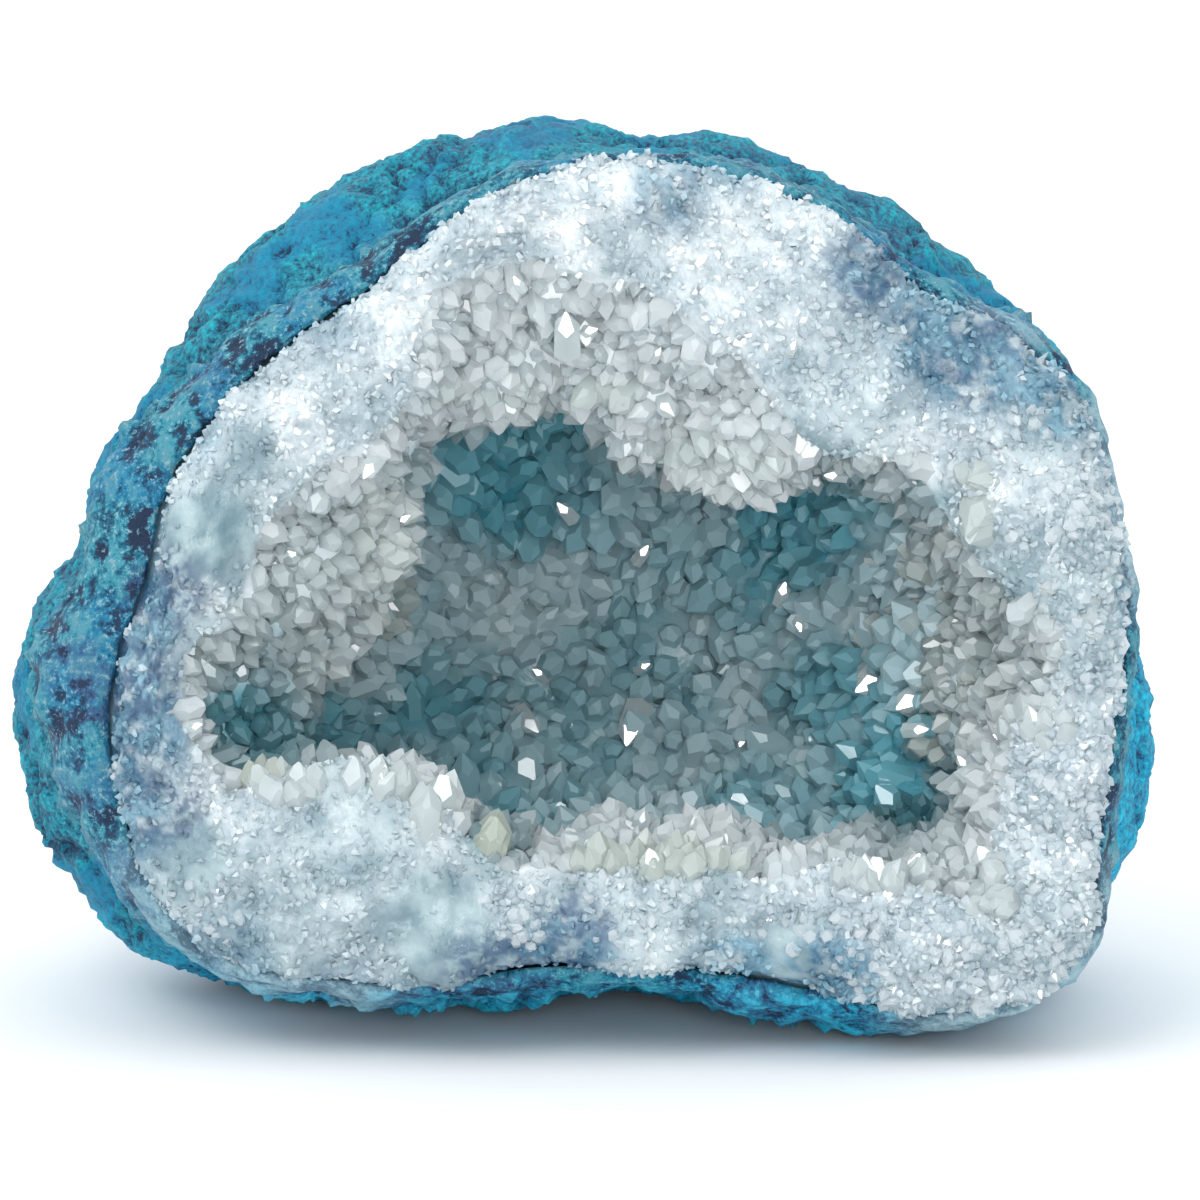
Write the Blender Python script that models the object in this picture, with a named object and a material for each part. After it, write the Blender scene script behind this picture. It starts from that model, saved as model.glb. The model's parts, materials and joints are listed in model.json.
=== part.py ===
"""A dyed agate geode, broken open: a rock rind with a quartz lining grown inside it.

The stone lies on a small flat spot with its broken face towards -Y. Outlines are radii about
the axis of the mouth, which runs straight into the stone, square to the broken face.
"""
import math

import bpy
import bmesh
from mathutils import Vector, noise

MM = 0.001

# The whole stone
FACE_LEAN = math.radians(10.0)
STONE_DEPTH = 50.0
REST_CUT = 1.2

# The rind, thick at the back and thin where the break ends it
RIND_THICKNESS = 2.4
RIND_EDGE_THICKNESS = 0.9
RIND_LUMP_HEIGHT = 0.6
RIND_LUMP_SIZE = 13.0
RIND_KNOB_HEIGHT = 0.35
RIND_KNOB_SIZE = 5.5
GROWTH_GAP = 0.3

# The quartz lining and the hollow in it
CAVITY_DEPTH = 36.0
DRUSE_KNOB_HEIGHT = 1.3
DRUSE_KNOB_SIZE = 7.5
RIM_RELIEF = 1.0
RIM_RELIEF_SIZE = 6.0

# How finely the solids are faceted
SEGMENTS = 64
OUTER_RINGS = 17
INNER_RINGS = 20

# Outlines as (angle in degrees anticlockwise from +X, radius in mm)
RIM_EDGE = [
    (0, 36.5), (20, 37.5), (32, 37.5), (42, 35.5), (50, 33.5), (62, 34.5), (90, 35.0), (108, 33.8),
    (122, 31.5), (142, 32.5), (160, 34.0), (170, 33.5), (190, 36.5), (210, 37.5), (220, 35.5),
    (230, 31.0), (240, 28.0), (250, 24.5), (260, 23.0), (280, 23.5), (290, 24.5), (300, 27.5),
    (310, 34.5), (322, 39.0), (330, 39.5), (340, 36.5),
]
RIDGE = [
    (0, 37.0), (10, 36.5), (30, 38.0), (40, 37.0), (50, 34.5), (65, 35.2), (100, 35.5), (110, 34.0),
    (130, 34.0), (150, 37.0), (160, 39.0), (170, 38.5), (180, 42.5), (190, 41.0), (210, 40.0),
    (220, 37.0), (230, 32.5), (240, 29.0), (250, 27.5), (260, 25.5), (270, 24.5), (280, 25.0),
    (290, 28.0), (300, 31.0), (310, 35.5), (320, 39.0), (330, 40.5), (340, 37.5),
]
BULGE = [
    (0, 37.5), (10, 36.0), (30, 38.0), (50, 38.5), (80, 37.5), (95, 39.0), (110, 40.0), (125, 41.0),
    (135, 40.5), (145, 38.8), (160, 40.0), (170, 41.0), (180, 44.0), (190, 46.0), (200, 44.0),
    (210, 42.5), (220, 38.5), (230, 33.5), (240, 30.0), (250, 27.5), (260, 26.0), (270, 25.0),
    (280, 26.0), (290, 28.0), (300, 31.0), (310, 35.5), (320, 39.5), (330, 41.0), (340, 40.0),
    (350, 40.0),
]
MOUTH = [
    (0, 30.5), (10, 26.5), (30, 25.0), (50, 22.5), (70, 22.0), (90, 25.5), (110, 28.0), (120, 27.0),
    (130, 23.0), (140, 22.5), (160, 25.5), (178, 29.0), (190, 29.5), (200, 25.0), (210, 18.5),
    (220, 16.5), (250, 16.5), (260, 15.0), (290, 15.0), (300, 17.5), (320, 22.0), (330, 29.5),
    (340, 28.5), (350, 28.0),
]
NECK = [
    (0, 26.0), (20, 25.0), (30, 23.5), (40, 19.0), (50, 13.5), (60, 11.5), (80, 12.0), (90, 14.5),
    (100, 18.0), (120, 17.5), (130, 20.0), (140, 19.0), (150, 16.5), (170, 15.0), (180, 17.5),
    (190, 22.5), (200, 22.0), (210, 17.5), (230, 15.0), (250, 13.5), (270, 12.0), (290, 13.0),
    (310, 17.5), (320, 22.0), (330, 26.0), (350, 26.5),
]
HOLLOW = [
    (0, 19.0), (45, 21.0), (90, 20.0), (135, 23.0), (180, 25.0), (200, 26.0), (225, 19.0),
    (270, 14.0), (315, 19.0), (340, 21.0),
]

# Depth of each outline behind the foremost part of the rim, in mm
RIM_EDGE_DEPTH = 3.2
RIDGE_DEPTH = 7.0
WAIST_DEPTH = 12.0
BULGE_DEPTH = 20.0
MOUTH_DEPTH = 2.6
NECK_DEPTH = 9.0
HOLLOW_DEPTH = 19.0


def radius_at(outline, angle):
    """Radius of a closed outline at an angle in degrees, on a smooth curve through its points."""
    count = len(outline)
    angle %= 360.0
    first = count - 1
    for index in range(count):
        if outline[index][0] <= angle:
            first = index
    quad = []
    for step in (-1, 0, 1, 2):
        turns, index = divmod(first + step, count)
        quad.append((outline[index][0] + 360.0 * turns, outline[index][1]))
    (a0, r0), (a1, r1), (a2, r2), (a3, r3) = quad
    span = a2 - a1
    slope_in = (r2 - r0) / (a2 - a0) * span
    slope_out = (r3 - r1) / (a3 - a1) * span
    t = (angle - a1) / span
    t2 = t * t
    t3 = t2 * t
    return ((2 * t3 - 3 * t2 + 1) * r1 + (t3 - 2 * t2 + t) * slope_in
            + (3 * t2 - 2 * t3) * r2 + (t3 - t2) * slope_out)


def along(stations, share):
    """Point at a share (0 to 1) of a smooth curve through (depth, radius) stations."""
    last = len(stations) - 1
    place = min(max(share, 0.0), 1.0) * last
    index = min(int(place), last - 1)
    t = place - index
    p0 = stations[max(index - 1, 0)]
    p1 = stations[index]
    p2 = stations[index + 1]
    p3 = stations[min(index + 2, last)]
    point = []
    for a, b, c, d in zip(p0, p1, p2, p3):
        point.append(0.5 * (2 * b + (c - a) * t + (2 * a - 5 * b + 4 * c - d) * t * t
                            + (3 * b - a - 3 * c + d) * t ** 3))
    return point


def lumps(depth, radius, angle, size, seed):
    """Smooth rise and fall, about -1 to 1, of lumps of the given size in mm."""
    turn = math.radians(angle)
    spot = Vector((radius * math.cos(turn), radius * math.sin(turn), depth + seed))
    return noise.noise(spot / size) * 2.0


def rind_outside(angle, share):
    """Outer skin from the back of the stone (0) to the edge of the break (1)."""
    bulge = radius_at(BULGE, angle)
    ridge = radius_at(RIDGE, angle)
    waist = min(bulge, ridge) - 0.8
    stations = [
        (STONE_DEPTH, 0.0),
        (STONE_DEPTH - 1.5, 0.28 * bulge),
        (STONE_DEPTH - 6.5, 0.62 * bulge),
        (STONE_DEPTH - 16.0, 0.9 * bulge),
        (BULGE_DEPTH, bulge),
        (WAIST_DEPTH, waist),
        (RIDGE_DEPTH, ridge),
        (RIM_EDGE_DEPTH, radius_at(RIM_EDGE, angle)),
    ]
    depth, radius = along(stations, share)
    relief = RIND_LUMP_HEIGHT * lumps(depth, radius, angle, RIND_LUMP_SIZE, 40.0)
    relief += RIND_KNOB_HEIGHT * lumps(depth, radius, angle, RIND_KNOB_SIZE, 90.0)
    fade = min(1.0, 4.0 * share) * min(1.0, 6.0 * (1.0 - share))
    return depth, max(radius + relief * fade, 0.0)


def under_rind(angle, share, extra):
    """Point below the outer skin, by the rind's own thickness there plus an extra."""
    step = 0.01
    depth, radius = rind_outside(angle, share)
    d0, r0 = rind_outside(angle, max(share - step, 0.0))
    d1, r1 = rind_outside(angle, min(share + step, 1.0))
    run = math.hypot(d1 - d0, r1 - r0)
    thickness = RIND_THICKNESS + (RIND_EDGE_THICKNESS - RIND_THICKNESS) * share ** 3 + extra
    depth += thickness * (r0 - r1) / run if share > 0.0 else -thickness
    radius += thickness * (d1 - d0) / run if share > 0.0 else 0.0
    return depth, max(radius, 0.0)


def quartz_inside(angle, share):
    """Broken rim and hollow, from the edge of the break (0) to the back of the hollow (1)."""
    rim = radius_at(RIM_EDGE, angle)
    mouth = radius_at(MOUTH, angle)
    neck = radius_at(NECK, angle)
    hollow = radius_at(HOLLOW, angle)
    stations = [
        under_rind(angle, 1.0, GROWTH_GAP),
        (RIM_EDGE_DEPTH - 1.3, rim - 0.5),
        (0.2, 0.6 * rim + 0.4 * mouth),
        (MOUTH_DEPTH, mouth),
        (NECK_DEPTH, neck),
        (0.5 * (NECK_DEPTH + HOLLOW_DEPTH), 0.5 * (neck + hollow)),
        (HOLLOW_DEPTH, hollow),
        (HOLLOW_DEPTH + 10.0, 0.72 * hollow),
        (CAVITY_DEPTH - 1.0, 0.34 * hollow),
        (CAVITY_DEPTH, 0.0),
    ]
    depth, radius = along(stations, share)
    on_rim = max(0.0, 1.0 - abs(share - 0.22) / 0.2)
    on_wall = min(1.0, max(0.0, 4.0 * (share - 0.33))) * min(1.0, 5.0 * (1.0 - share))
    depth += on_rim * RIM_RELIEF * lumps(depth, radius, angle, RIM_RELIEF_SIZE, 10.0)
    radius += on_wall * DRUSE_KNOB_HEIGHT * lumps(depth, radius, angle, DRUSE_KNOB_SIZE, 60.0)
    return depth, max(radius, 0.0)


def place(angle, depth, radius):
    """Point in the stone's frame, in metres, from its place about the mouth's axis."""
    turn = math.radians(angle)
    across = radius * math.cos(turn)
    up = radius * math.sin(turn)
    y = depth * math.cos(FACE_LEAN) + up * math.sin(FACE_LEAN)
    z = up * math.cos(FACE_LEAN) - depth * math.sin(FACE_LEAN)
    return Vector((across, y, z)) * MM


def pressed_ball(name, rings, shape, diagonals, collection, material):
    """Ball pressed into a bowl: shape(angle, share) gives depth and radius from back to front
    along the outside and on to the middle of the inside, as share goes from 0 to 1. The rind's
    inner facets run the other way, so opposite diagonals make the two solids face alike."""
    bm = bmesh.new()
    bmesh.ops.create_uvsphere(bm, u_segments=SEGMENTS, v_segments=rings, radius=1.0)
    bmesh.ops.triangulate(bm, faces=bm.faces, quad_method=diagonals)
    for vert in bm.verts:
        share = math.asin(max(-1.0, min(1.0, vert.co.z))) / math.pi + 0.5
        angle = math.degrees(math.atan2(vert.co.y, vert.co.x))
        depth, radius = shape(angle, share)
        vert.co = place(angle, depth, radius)
    bmesh.ops.recalc_face_normals(bm, faces=bm.faces)
    mesh = bpy.data.meshes.new(name)
    bm.to_mesh(mesh)
    bm.free()
    mesh.shade_smooth()
    mesh.set_sharp_from_angle(angle=math.radians(40.0))
    mesh.materials.append(material)
    part = bpy.data.objects.new(name, mesh)
    collection.objects.link(part)
    return part


def rind_shape(angle, share):
    """Rind section: the outer skin, the thin broken edge, and back along the inner skin."""
    turn_back = OUTER_RINGS / (2.0 * OUTER_RINGS + 1.0)
    if share <= turn_back:
        return rind_outside(angle, share / turn_back)
    back = min(max((1.0 - share) / turn_back, 0.0), 1.0)
    return under_rind(angle, back, 0.0)


def quartz_shape(angle, share):
    """Quartz section: against the rind, round the broken rim and into the hollow."""
    turn_in = OUTER_RINGS / (OUTER_RINGS + INNER_RINGS)
    if share <= turn_in:
        return under_rind(angle, share / turn_in, GROWTH_GAP)
    return quartz_inside(angle, (share - turn_in) / (1.0 - turn_in))


def stone_material(name, color, roughness):
    material = bpy.data.materials.new(name)
    material.use_nodes = True
    shader = material.node_tree.nodes["Principled BSDF"]
    shader.inputs["Base Color"].default_value = (*color, 1.0)
    shader.inputs["Roughness"].default_value = roughness
    shader.inputs["Metallic"].default_value = 0.0
    return material


def lowest(parts):
    return min(vert.co.z for part in parts for vert in part.data.vertices)


def centre_over_origin(parts):
    """Move the meshes so that the stone stands centred over the origin, on the flat spot."""
    spots = [vert.co for part in parts for vert in part.data.vertices]
    mid_x = 0.5 * (min(co.x for co in spots) + max(co.x for co in spots))
    mid_y = 0.5 * (min(co.y for co in spots) + max(co.y for co in spots))
    floor = lowest(parts) + REST_CUT * MM
    for part in parts:
        for vert in part.data.vertices:
            vert.co -= Vector((mid_x, mid_y, floor))


def cut_resting_spot(rind, cutters):
    """Ground the lowest lump flat, where the stone rests."""
    size = 0.2
    bpy.ops.mesh.primitive_cube_add(size=size, location=(0.0, 0.0, -0.5 * size))
    cutter = bpy.context.object
    cutter.name = "resting_plane_cutter"
    cutter.hide_render = True
    cutter.display_type = "WIRE"
    for home in list(cutter.users_collection):
        home.objects.unlink(cutter)
    cutters.objects.link(cutter)
    cut = rind.modifiers.new("resting spot", "BOOLEAN")
    cut.operation = "DIFFERENCE"
    cut.solver = "EXACT"
    cut.object = cutter


for old in list(bpy.data.objects):
    bpy.data.objects.remove(old, do_unlink=True)

geode = bpy.data.collections.new("agate_geode")
bpy.context.scene.collection.children.link(geode)
cutters = bpy.data.collections.new("cutters")
bpy.context.scene.collection.children.link(cutters)

rind = pressed_ball("rock_rind", 2 * OUTER_RINGS + 1, rind_shape, "FIXED", geode,
                    stone_material("dyed_rind_rock", (0.10, 0.31, 0.40), 0.75))
quartz = pressed_ball("quartz_lining", OUTER_RINGS + INNER_RINGS, quartz_shape, "ALTERNATE", geode,
                      stone_material("pale_quartz", (0.72, 0.82, 0.84), 0.25))
centre_over_origin([rind, quartz])
cut_resting_spot(rind, cutters)
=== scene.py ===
import json
import math

import bmesh
import bpy
from mathutils import Matrix, Vector, noise
from mathutils.bvhtree import BVHTree

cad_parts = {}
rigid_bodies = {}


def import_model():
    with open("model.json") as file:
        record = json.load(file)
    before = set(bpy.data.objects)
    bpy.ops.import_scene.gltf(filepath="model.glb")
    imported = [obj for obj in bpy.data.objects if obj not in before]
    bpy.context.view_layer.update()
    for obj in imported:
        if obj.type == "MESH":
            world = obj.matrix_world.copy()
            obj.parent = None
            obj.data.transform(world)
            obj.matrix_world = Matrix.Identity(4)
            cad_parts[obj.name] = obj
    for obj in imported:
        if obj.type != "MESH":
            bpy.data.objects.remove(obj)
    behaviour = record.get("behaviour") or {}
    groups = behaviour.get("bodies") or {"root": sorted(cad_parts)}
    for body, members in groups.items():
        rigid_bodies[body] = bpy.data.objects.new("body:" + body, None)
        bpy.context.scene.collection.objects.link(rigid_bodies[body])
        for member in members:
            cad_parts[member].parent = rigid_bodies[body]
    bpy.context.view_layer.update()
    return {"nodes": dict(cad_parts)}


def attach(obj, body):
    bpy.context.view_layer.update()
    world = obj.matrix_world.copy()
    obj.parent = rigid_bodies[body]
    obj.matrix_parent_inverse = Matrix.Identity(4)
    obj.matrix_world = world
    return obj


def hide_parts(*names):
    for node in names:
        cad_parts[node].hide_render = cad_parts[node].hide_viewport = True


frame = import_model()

# The stone as it lies: the broken face looks at the viewer and leans back a little. The axis of
# the mouth runs square into that face, and places on the stone are given about it: across, up
# the face, and in depth behind the foremost part of the rim.
MM = 0.001
FACE_LEAN = math.radians(10.0)
AXIS_FOOT = Vector((2.7, -22.75, 29.25)) * MM
ACROSS = Vector((1.0, 0.0, 0.0))
UP_FACE = Vector((0.0, math.sin(FACE_LEAN), math.cos(FACE_LEAN)))
INTO_STONE = Vector((0.0, math.cos(FACE_LEAN), -math.sin(FACE_LEAN)))

# The camera looks square into the mouth, from far off for a stone of this size. A pixel of the
# 1200 pixel frame is then a straight line of sight into the stone.
VIEW_DISTANCE = 420.0 * MM
FRAME_PIXELS = 1200
PIXEL = 0.07 * MM
AXIS_PIXEL = (620, 650)
FILM_WIDTH = 36.0

frame_middle = (AXIS_FOOT + ACROSS * (FRAME_PIXELS / 2 - AXIS_PIXEL[0]) * PIXEL
                - UP_FACE * (FRAME_PIXELS / 2 - AXIS_PIXEL[1]) * PIXEL)
eye = frame_middle - INTO_STONE * VIEW_DISTANCE


def sight_line(across_pixel, down_pixel):
    """Direction in which the camera sees a pixel of the frame."""
    spot = (frame_middle + ACROSS * (across_pixel - FRAME_PIXELS / 2) * PIXEL
            - UP_FACE * (down_pixel - FRAME_PIXELS / 2) * PIXEL)
    return (spot - eye).normalized()


camera_data = bpy.data.cameras.new("camera")
camera_data.sensor_width = FILM_WIDTH
camera_data.lens = FILM_WIDTH * VIEW_DISTANCE / (FRAME_PIXELS * PIXEL)
camera_data.clip_start = 0.01
camera = bpy.data.objects.new("camera", camera_data)
bpy.context.scene.collection.objects.link(camera)
camera.location = eye
camera.rotation_euler = INTO_STONE.to_track_quat("-Z", "Y").to_euler()
bpy.context.scene.camera = camera

# A plain pale floor and a plain studio: the room itself is the wide soft light, a large soft
# window stands over the left shoulder, and a few small bright lamps make the crystals glint.
FLOOR_SIZE = 3.0
FLOOR_WHITE = (0.86, 0.87, 0.88, 1.0)
FLOOR_ROUGHNESS = 0.9
ROOM_WHITE = (0.95, 0.98, 1.0, 1.0)
ROOM_BRIGHT_SIDE = (-0.15, 0.25, 0.96)
ROOM_DARK = 0.38
ROOM_BRIGHT = 1.45
ROOM_DARK_UP_TO = -0.35
ROOM_BRIGHT_FROM = 0.75

floor_mesh = bpy.data.meshes.new("floor")
floor_shape = bmesh.new()
bmesh.ops.create_grid(floor_shape, x_segments=1, y_segments=1, size=0.5 * FLOOR_SIZE)
floor_shape.to_mesh(floor_mesh)
floor_shape.free()
floor = bpy.data.objects.new("floor", floor_mesh)
bpy.context.scene.collection.objects.link(floor)
floor_paint = bpy.data.materials.new("floor_paint")
floor_paint.use_nodes = True
floor_shader = floor_paint.node_tree.nodes["Principled BSDF"]
floor_shader.inputs["Base Color"].default_value = FLOOR_WHITE
floor_shader.inputs["Roughness"].default_value = FLOOR_ROUGHNESS
floor_mesh.materials.append(floor_paint)

room = bpy.data.worlds.new("pale_room")
room.use_nodes = True
sky = room.node_tree.nodes
wires = room.node_tree.links
toward = sky.new("ShaderNodeTexCoord")
facing = sky.new("ShaderNodeVectorMath")
facing.operation = "DOT_PRODUCT"
facing.inputs[1].default_value = ROOM_BRIGHT_SIDE
shade = sky.new("ShaderNodeMapRange")
shade.interpolation_type = "SMOOTHSTEP"
shade.inputs["From Min"].default_value = ROOM_DARK_UP_TO
shade.inputs["From Max"].default_value = ROOM_BRIGHT_FROM
shade.inputs["To Min"].default_value = ROOM_DARK
shade.inputs["To Max"].default_value = ROOM_BRIGHT
wires.new(toward.outputs["Generated"], facing.inputs[0])
wires.new(facing.outputs["Value"], shade.inputs["Value"])
wires.new(shade.outputs["Result"], sky["Background"].inputs["Strength"])
sky["Background"].inputs["Color"].default_value = ROOM_WHITE
bpy.context.scene.world = room
bpy.context.scene.view_settings.view_transform = "Standard"

# The place of the lamp that the glinting crystals throw back at the viewer, and all the lamps:
# name, place about the mouth (across, up, towards the viewer, in metres), size, watts, and
# whether it lights the stone or only shows in its facets as a glint
SPARK = (-0.06, 0.12, 0.60)
LAMPS = [
    ("window", (-0.30, 0.55, 0.35), 0.40, 1.1, True),
    ("front", (0.05, 0.12, 0.60), 0.20, 1.0, True),
    ("spark", SPARK, 0.06, 0.30, False),
    ("glint_left", (-0.45, 0.20, 0.50), 0.10, 0.5, False),
    ("glint_right", (0.40, 0.35, 0.45), 0.08, 0.4, False),
]
SPARK_PLACE = AXIS_FOOT + Vector((SPARK[0], -SPARK[2], SPARK[1]))
for lamp_name, (lamp_across, lamp_up, lamp_out), lamp_size, lamp_watts, lamp_lights in LAMPS:
    lamp_data = bpy.data.lights.new(lamp_name, "AREA")
    lamp_data.shape = "DISK"
    lamp_data.size = lamp_size
    lamp_data.energy = lamp_watts
    lamp = bpy.data.objects.new(lamp_name, lamp_data)
    lamp.visible_diffuse = lamp_lights
    lamp.visible_transmission = lamp_lights
    lamp.location = AXIS_FOOT + Vector((lamp_across, -lamp_out, lamp_up))
    lamp.rotation_euler = (AXIS_FOOT - lamp.location).to_track_quat("-Z", "Y").to_euler()
    bpy.context.scene.collection.objects.link(lamp)

# The rind: the skin of host rock that the quartz grew in, with knobs, pits and a granular
# crust, dyed turquoise and, in the hollows, indigo. One closed skin, left thin at the break.
RIND_FACET = 0.70 * MM
RIND_HIDDEN_GAP = 0.75 * MM
RIND_HIDDEN_FACET = 2.5 * MM
RIND_EDGE_DEPTH = 4.6
RIND_ROUGH_DEPTH = 8.5
RIND_EVENED_DEPTH = 9.0
KNOB_SIZE = 7.0
KNOB_HEIGHT = 0.8
CREASE_SIZE = 8.0
CRUST_SIZE = 1.9
FLAKE_SIZE = 1.7
CRUMB_SIZE = 0.9
PIT_SPACING = 4.2
PIT_WIDTH = 1.1
PIT_DEPTH = 1.1
PITTED_SHARE = 0.30
RIND_SEED = 5


def merged_copy(node):
    """Joined-up copy of a solid of the frame, to be worked on."""
    shape = bmesh.new()
    shape.from_mesh(frame["nodes"][node].data)
    bmesh.ops.remove_doubles(shape, verts=shape.verts, dist=0.001 * MM)
    return shape


def refine(shape, longest_at, rounds, passes=3, held=None):
    """Split every edge that is longer than longest_at(its middle) allows, over and over, and
    even the surface out between, so that the coarse facets become one smooth skin. Points
    that held(point) names keep their place."""
    for _ in range(rounds):
        long_edges = []
        for edge in shape.edges:
            middle = (edge.verts[0].co + edge.verts[1].co) * 0.5
            if edge.calc_length() > longest_at(middle):
                long_edges.append(edge)
        if not long_edges:
            break
        bmesh.ops.subdivide_edges(shape, edges=long_edges, cuts=1)
        bmesh.ops.triangulate(shape, faces=[face for face in shape.faces if len(face.verts) > 3])
        free = [vert for vert in shape.verts if held is None or not held(vert.co)]
        for _ in range(passes):
            bmesh.ops.smooth_vert(shape, verts=free, factor=0.4,
                                  use_axis_x=True, use_axis_y=True, use_axis_z=True)


def about_mouth(point):
    """Across, up and depth, in mm, of a point about the axis of the mouth."""
    arm = (point - AXIS_FOOT) / MM
    return arm.dot(ACROSS), arm.dot(UP_FACE), arm.dot(INTO_STONE)


def ease(low, high, value):
    """Smooth step from 0 at low to 1 at high."""
    share = min(max((value - low) / (high - low), 0.0), 1.0)
    return share * share * (3.0 - 2.0 * share)


def domes(spot, size, roundness):
    """Rounded bumps packed side by side, 1 on top and 0 or less in the grooves between."""
    near = noise.voronoi(spot / size)[0]
    return 1.0 - roundness * near[0] * near[0] - 0.25 * max(0.0, 1.0 - 4.0 * (near[1] - near[0]))


def pits(spot, size, share, width):
    """Small holes in some cells of the surface: 1 in the middle of a hole, else 0."""
    distances, points = noise.voronoi(spot / size)
    if noise.cell(points[0] * 7.31) > share:
        return 0.0
    return 1.0 - ease(0.4 * width, width, distances[0] * size)


def pixel_of(point):
    """Where the camera sees a point, in pixels of the frame."""
    arm = point - eye
    scale = VIEW_DISTANCE / arm.dot(INTO_STONE) / PIXEL
    middle = frame_middle - eye
    return (FRAME_PIXELS / 2 + (arm.dot(ACROSS) * scale - middle.dot(ACROSS) / PIXEL),
            FRAME_PIXELS / 2 - (arm.dot(UP_FACE) * scale - middle.dot(UP_FACE) / PIXEL))


def spotted(pixel, spots):
    """How strongly a pixel lies in round spots, each (across, down, radius, strength)."""
    total = 0.0
    for across, down, radius, strength in spots:
        reach = math.hypot(pixel[0] - across, pixel[1] - down) / radius
        total = max(total, strength * (1.0 - ease(0.35, 1.0, reach)))
    return total


# Where dye has pooled, violet to indigo, and where the rind is pale and hardly dyed: pixels of
# the frame, radius and strength
VIOLET_SPOTS = [
    (165, 590, 60, 1.0), (115, 690, 90, 1.0), (165, 805, 60, 0.9), (60, 660, 70, 0.8),
    (515, 205, 26, 1.0), (865, 270, 60, 0.9), (975, 370, 60, 0.7), (1010, 325, 50, 0.7),
    (575, 930, 60, 0.9), (500, 985, 85, 1.0), (670, 200, 60, 0.35), (1125, 800, 40, 0.5),
]
PALE_SPOTS = [
    (1125, 520, 120, 1.0), (1090, 440, 60, 0.7), (290, 985, 150, 0.9), (170, 930, 70, 0.6),
    (980, 1030, 130, 1.0), (1080, 970, 80, 0.9), (140, 880, 60, 0.5),
    (1120, 890, 50, 0.6), (1000, 330, 60, 0.5),
]

lining_shape = merged_copy("quartz_lining")
lining_tree = BVHTree.FromBMesh(lining_shape)
rind_shape = merged_copy("rock_rind")


def rind_facet_at(point):
    gap = lining_tree.find_nearest(point)[3]
    return RIND_HIDDEN_FACET if gap < RIND_HIDDEN_GAP else RIND_FACET


def at_rind_edge(point):
    return about_mouth(point)[2] < RIND_EDGE_DEPTH


def chips(spot, size, tilt):
    """Broken stony face: every cell is a small plane that leans its own way."""
    middle = noise.voronoi(spot / size)[1][0] * size
    lean = noise.cell_vector(middle * 3.7) * 2.0 - Vector((1.0, 1.0, 1.0))
    return max(-0.5, min(0.5, (spot - middle).dot(lean) * tilt))


def rind_relief(point):
    """Height in mm of the crust over the smooth skin, and how far into its crevices it is."""
    spot = point / MM
    behind = ease(9.0, 15.0, about_mouth(point)[2])
    warped = spot + 0.9 * noise.noise_vector(spot / CRUST_SIZE)
    knobs = noise.fractal(spot / KNOB_SIZE, 0.9, 2.1, 3) * KNOB_HEIGHT
    creases = abs(noise.fractal(spot / CREASE_SIZE + Vector((5.0, 1.0, 8.0)), 0.9, 2.0, 3))
    creases = -1.0 * (1.0 - ease(0.0, 0.12, creases)) * (1.0 - 0.4 * behind)
    crust = noise.fractal(warped / CRUST_SIZE, 0.7, 2.2, 3) * (0.80 - 0.50 * behind)
    broken = chips(warped, FLAKE_SIZE, 0.40) * (0.9 - 0.65 * behind)
    crumbs = (domes(spot, CRUMB_SIZE, 1.5) - 0.5) * (0.34 - 0.18 * behind)
    holes = -PIT_DEPTH * pits(spot, PIT_SPACING, PITTED_SHARE, PIT_WIDTH) * (1.0 - 0.6 * behind)
    texture = creases * 0.6 + crust + broken + crumbs + holes
    flatter_back = 0.35 * ease(40.0, 46.0, about_mouth(point)[2])
    return knobs + 0.4 * creases + texture + 0.30 - flatter_back, texture


noise.seed_set(RIND_SEED)
refine(rind_shape, rind_facet_at, 5, held=at_rind_edge)
rind_shape.normal_update()
rind_height = rind_shape.verts.layers.float.new("height")
rind_dusty = rind_shape.verts.layers.float.new("dusty")
rind_violet = rind_shape.verts.layers.float.new("violet")
rind_painted_light = rind_shape.verts.layers.float.new("painted_bright_blue")
rind_pale = rind_shape.verts.layers.float.new("pale")
rind_blue = rind_shape.verts.layers.float.new("blue")
for vert in rind_shape.verts:
    gap = lining_tree.find_nearest(vert.co)[3]
    shown = ease(0.6 * MM, 1.2 * MM, gap) * ease(0.1 * MM, 1.6 * MM, vert.co.z)
    relief, texture = rind_relief(vert.co)
    spot = vert.co / MM
    depth = about_mouth(vert.co)[2]
    pixel = pixel_of(vert.co)
    shown *= 0.25 + 0.75 * ease(RIND_EDGE_DEPTH, RIND_ROUGH_DEPTH, depth)
    vert[rind_height] = texture
    vert[rind_dusty] = 1.0 - ease(8.5, 15.0, depth + 2.5 * noise.noise(spot / 6.0))
    # Painted light: the bottom of the rind, in shade above the floor, is painted a brighter and
    # more saturated blue, and so is a strip of its right side.
    low = 1.0 - ease(2.0, 9.0, spot.z + 2.0 * noise.noise(spot / 5.0))
    side = ease(30.0, 36.0, spot.x) * ease(8.0, 12.0, depth)
    vert[rind_painted_light] = max(low, side)
    pooled = ease(0.12, 0.42, noise.fractal(spot / 13.0, 1.0, 2.0, 3)) * 0.5
    front = 1.0 - ease(4.5, 11.0, depth + 3.0 * noise.noise(spot / 3.0))
    pooled = max(spotted(pixel, VIOLET_SPOTS) * front, pooled)
    vert[rind_violet] = pooled * ease(-0.25, 0.12, noise.fractal(spot / 2.2, 0.7, 2.0, 3))
    vert[rind_blue] = 0.6 * ease(-0.08, 0.20, noise.fractal(spot / 6.0, 0.8, 2.0, 2))
    vert[rind_pale] = spotted(pixel, PALE_SPOTS) * front
    vert.co += vert.normal * (relief * shown * MM)
    lip = 1.0 - ease(RIND_EDGE_DEPTH, 7.0, depth)
    vert.co += noise.noise_vector(spot / 1.8) * (0.45 * lip * MM)
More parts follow.
